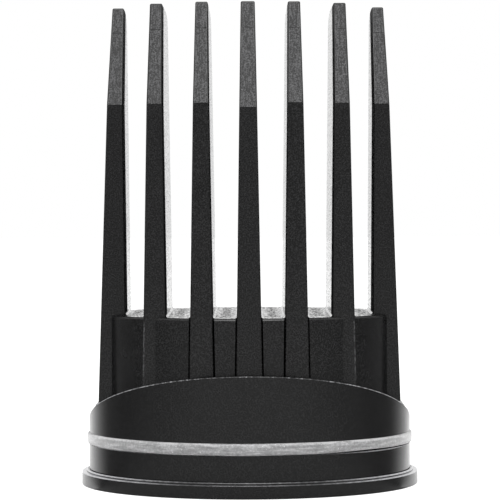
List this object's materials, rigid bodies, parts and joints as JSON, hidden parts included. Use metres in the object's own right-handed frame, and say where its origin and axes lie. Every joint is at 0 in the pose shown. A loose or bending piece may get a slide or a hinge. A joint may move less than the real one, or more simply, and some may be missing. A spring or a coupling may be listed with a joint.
{
  "type": "hair dryer comb attachment",
  "caption": "Wide-tooth comb attachment for a round hair dryer outlet: deep tapered parallel teeth on a round drum, in an arched sleeve that swivels on a flanged foot ring.",
  "frame": {"origin": "on the swivel axis, at the underside of the foot ring", "axes": "+Z along the swivel axis towards the tips of the teeth, -Y towards the bevelled front of the teeth, +X to the right seen from the front"},
  "size_m": [0.075, 0.075, 0.1062],
  "materials": {
    "ring_plastic": "fine satin",
    "sleeve_plastic": "fine satin",
    "drum_plastic": "fine satin",
    "blade_plastic": "fine grain",
    "band_rubber": "matte, slightly mottled",
    "rod_steel": "drawn rod",
    "spring_steel": "stamped",
    "magnet_steel": "nickel plated"
  },
  "bodies": {
    "base": {"base_ring": "ring_plastic", "magnet_1": "magnet_steel", "magnet_2": "magnet_steel", "magnet_3": "magnet_steel", "magnet_4": "magnet_steel", "magnet_5": "magnet_steel", "magnet_6": "magnet_steel"},
    "comb_head": {"outer_sleeve": "sleeve_plastic", "trim_band": "band_rubber", "comb_drum": "drum_plastic", "tie_rod_front": "rod_steel", "tie_rod_rear": "rod_steel", "retaining_ring": "spring_steel", "comb_blade_1": "blade_plastic", "comb_blade_2": "blade_plastic", "comb_blade_3": "blade_plastic", "comb_blade_4": "blade_plastic", "comb_blade_5": "blade_plastic", "comb_blade_6": "blade_plastic", "comb_blade_7": "blade_plastic"}
  },
  "joints": [
    {"name": "comb_swivel", "type": "hinge", "parent": "base", "child": "comb_head", "pos_m": [0, 0, 0.0036], "axis": [0, 0, 1], "continuous": true}
  ]
}
